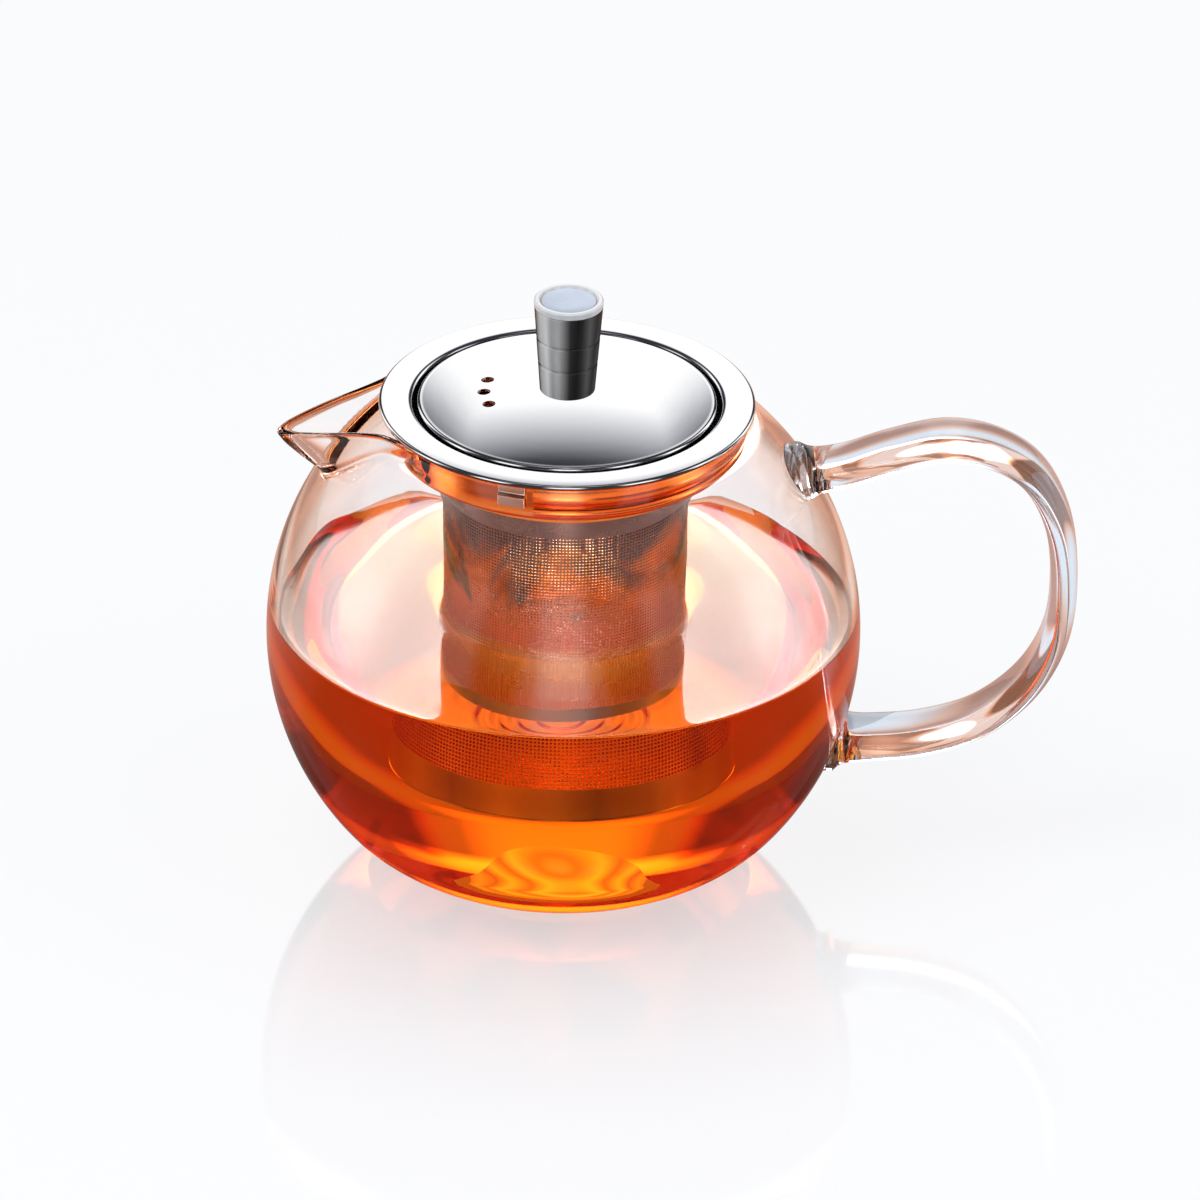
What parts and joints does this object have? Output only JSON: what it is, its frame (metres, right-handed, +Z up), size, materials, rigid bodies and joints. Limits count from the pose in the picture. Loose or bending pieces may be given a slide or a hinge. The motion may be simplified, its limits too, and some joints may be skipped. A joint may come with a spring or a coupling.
{
  "type": "glass teapot",
  "caption": "Round clear glass teapot with a pulled spout, a fused glass handle, a lift-out steel infuser basket and a domed steel lid with a tapered knob.",
  "frame": {"origin": "centre of the foot, in the plane that the pot stands on", "axes": "+Z up along the pot's axis, +X towards the handle, -X towards the spout"},
  "size_m": [0.1854, 0.136, 0.1412],
  "materials": {
    "glass": "clear blown borosilicate glass, fire polished",
    "polished_steel": "mirror polished stainless steel",
    "brushed_steel": "plain stainless steel",
    "basket_steel": "finely perforated stainless steel sheet",
    "spring_steel": "bright rolled spring steel",
    "knob_black": "black nickel, satin gloss",
    "knob_cap": "polished metal"
  },
  "bodies": {
    "pot": {"glass_body": "glass", "handle": "glass"},
    "infuser": {"infuser_collar": "polished_steel", "basket_sleeve": "basket_steel", "basket_bottom": "basket_steel", "spring_band": "spring_steel", "band_clasp": "spring_steel"},
    "lid": {"lid_dome": "polished_steel", "lid_skirt": "brushed_steel", "knob_core": "knob_black", "knob_foot_ring": "knob_black", "knob_middle_ring": "knob_black", "knob_top_ring": "knob_black", "knob_cap_ring": "knob_cap", "knob_cap_disc": "knob_cap", "knob_screw": "brushed_steel", "knob_washer": "brushed_steel"}
  },
  "joints": [
    {"name": "infuser_lift", "type": "slide", "parent": "pot", "child": "infuser", "axis": [0, 0, 1], "range_m": [0, 0.1]},
    {"name": "lid_lift", "type": "slide", "parent": "infuser", "child": "lid", "axis": [0, 0, 1], "range_m": [0, 0.04]}
  ]
}
